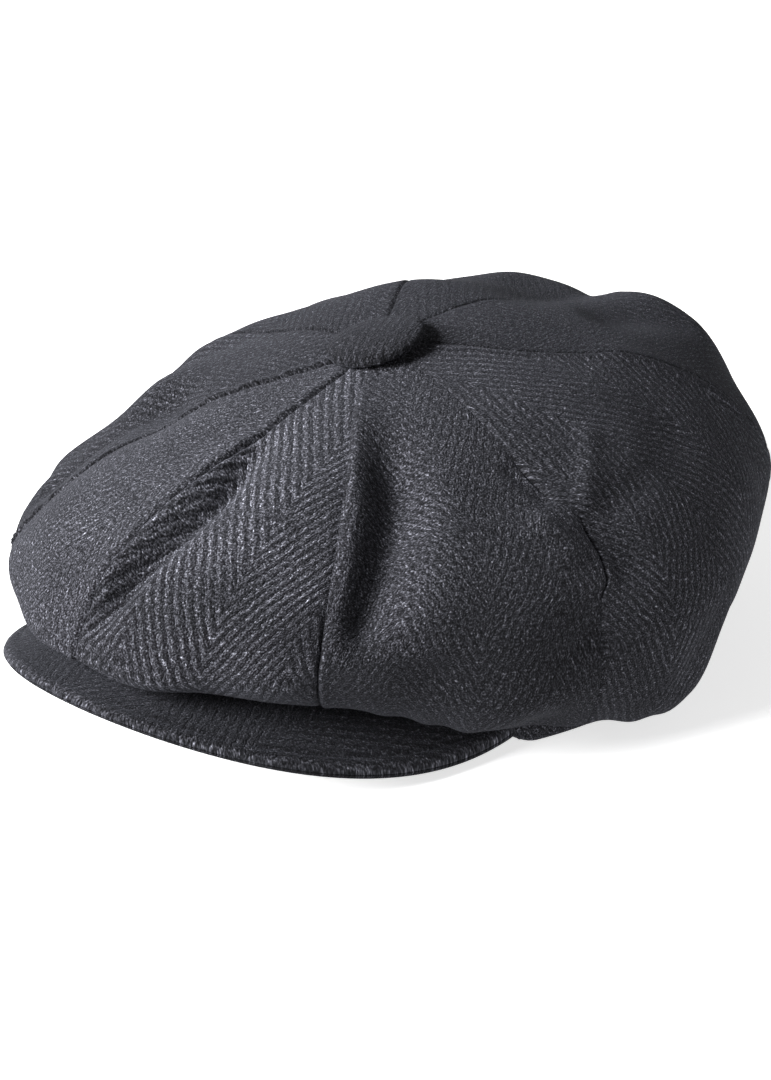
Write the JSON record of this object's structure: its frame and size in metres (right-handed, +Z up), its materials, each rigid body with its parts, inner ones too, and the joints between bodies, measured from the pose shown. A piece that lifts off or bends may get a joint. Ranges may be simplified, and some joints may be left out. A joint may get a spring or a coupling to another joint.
{
  "type": "newsboy cap",
  "caption": "Full-crowned cap of sewn gore panels in dark herringbone wool, with a covered button on top and a short bent visor.",
  "frame": {"origin": "centre of the head opening, on the plane of the band's lower edge at the sides and back", "axes": "+Z up through the crown, -Y towards the visor and the wearer's face, +X to the wearer's left"},
  "size_m": [0.2272, 0.2778, 0.115],
  "materials": {
    "wool_herringbone": "brushed herringbone wool",
    "lining_satin": "satin",
    "sweatband_cloth": "woven cotton",
    "buckram": "stiff open weave",
    "visor_board": "matt moulded sheet",
    "button_metal": "plain pressed metal"
  },
  "bodies": {
    "root": {"band_stiffener": "buckram", "button_cover": "wool_herringbone", "button_shell": "button_metal", "button_washer": "button_metal", "crown_back_left": "wool_herringbone", "crown_back_right": "wool_herringbone", "crown_back_side_left": "wool_herringbone", "crown_back_side_right": "wool_herringbone", "crown_front_left": "wool_herringbone", "crown_front_right": "wool_herringbone", "crown_front_side_left": "wool_herringbone", "crown_front_side_right": "wool_herringbone", "head_band": "wool_herringbone", "lining_back_left": "lining_satin", "lining_back_right": "lining_satin", "lining_back_side_left": "lining_satin", "lining_back_side_right": "lining_satin", "lining_front_left": "lining_satin", "lining_front_right": "lining_satin", "lining_front_side_left": "lining_satin", "lining_front_side_right": "lining_satin", "sweatband": "sweatband_cloth", "visor_board": "visor_board", "visor_top_cover": "wool_herringbone", "visor_under_cover": "wool_herringbone"}
  },
  "joints": []
}
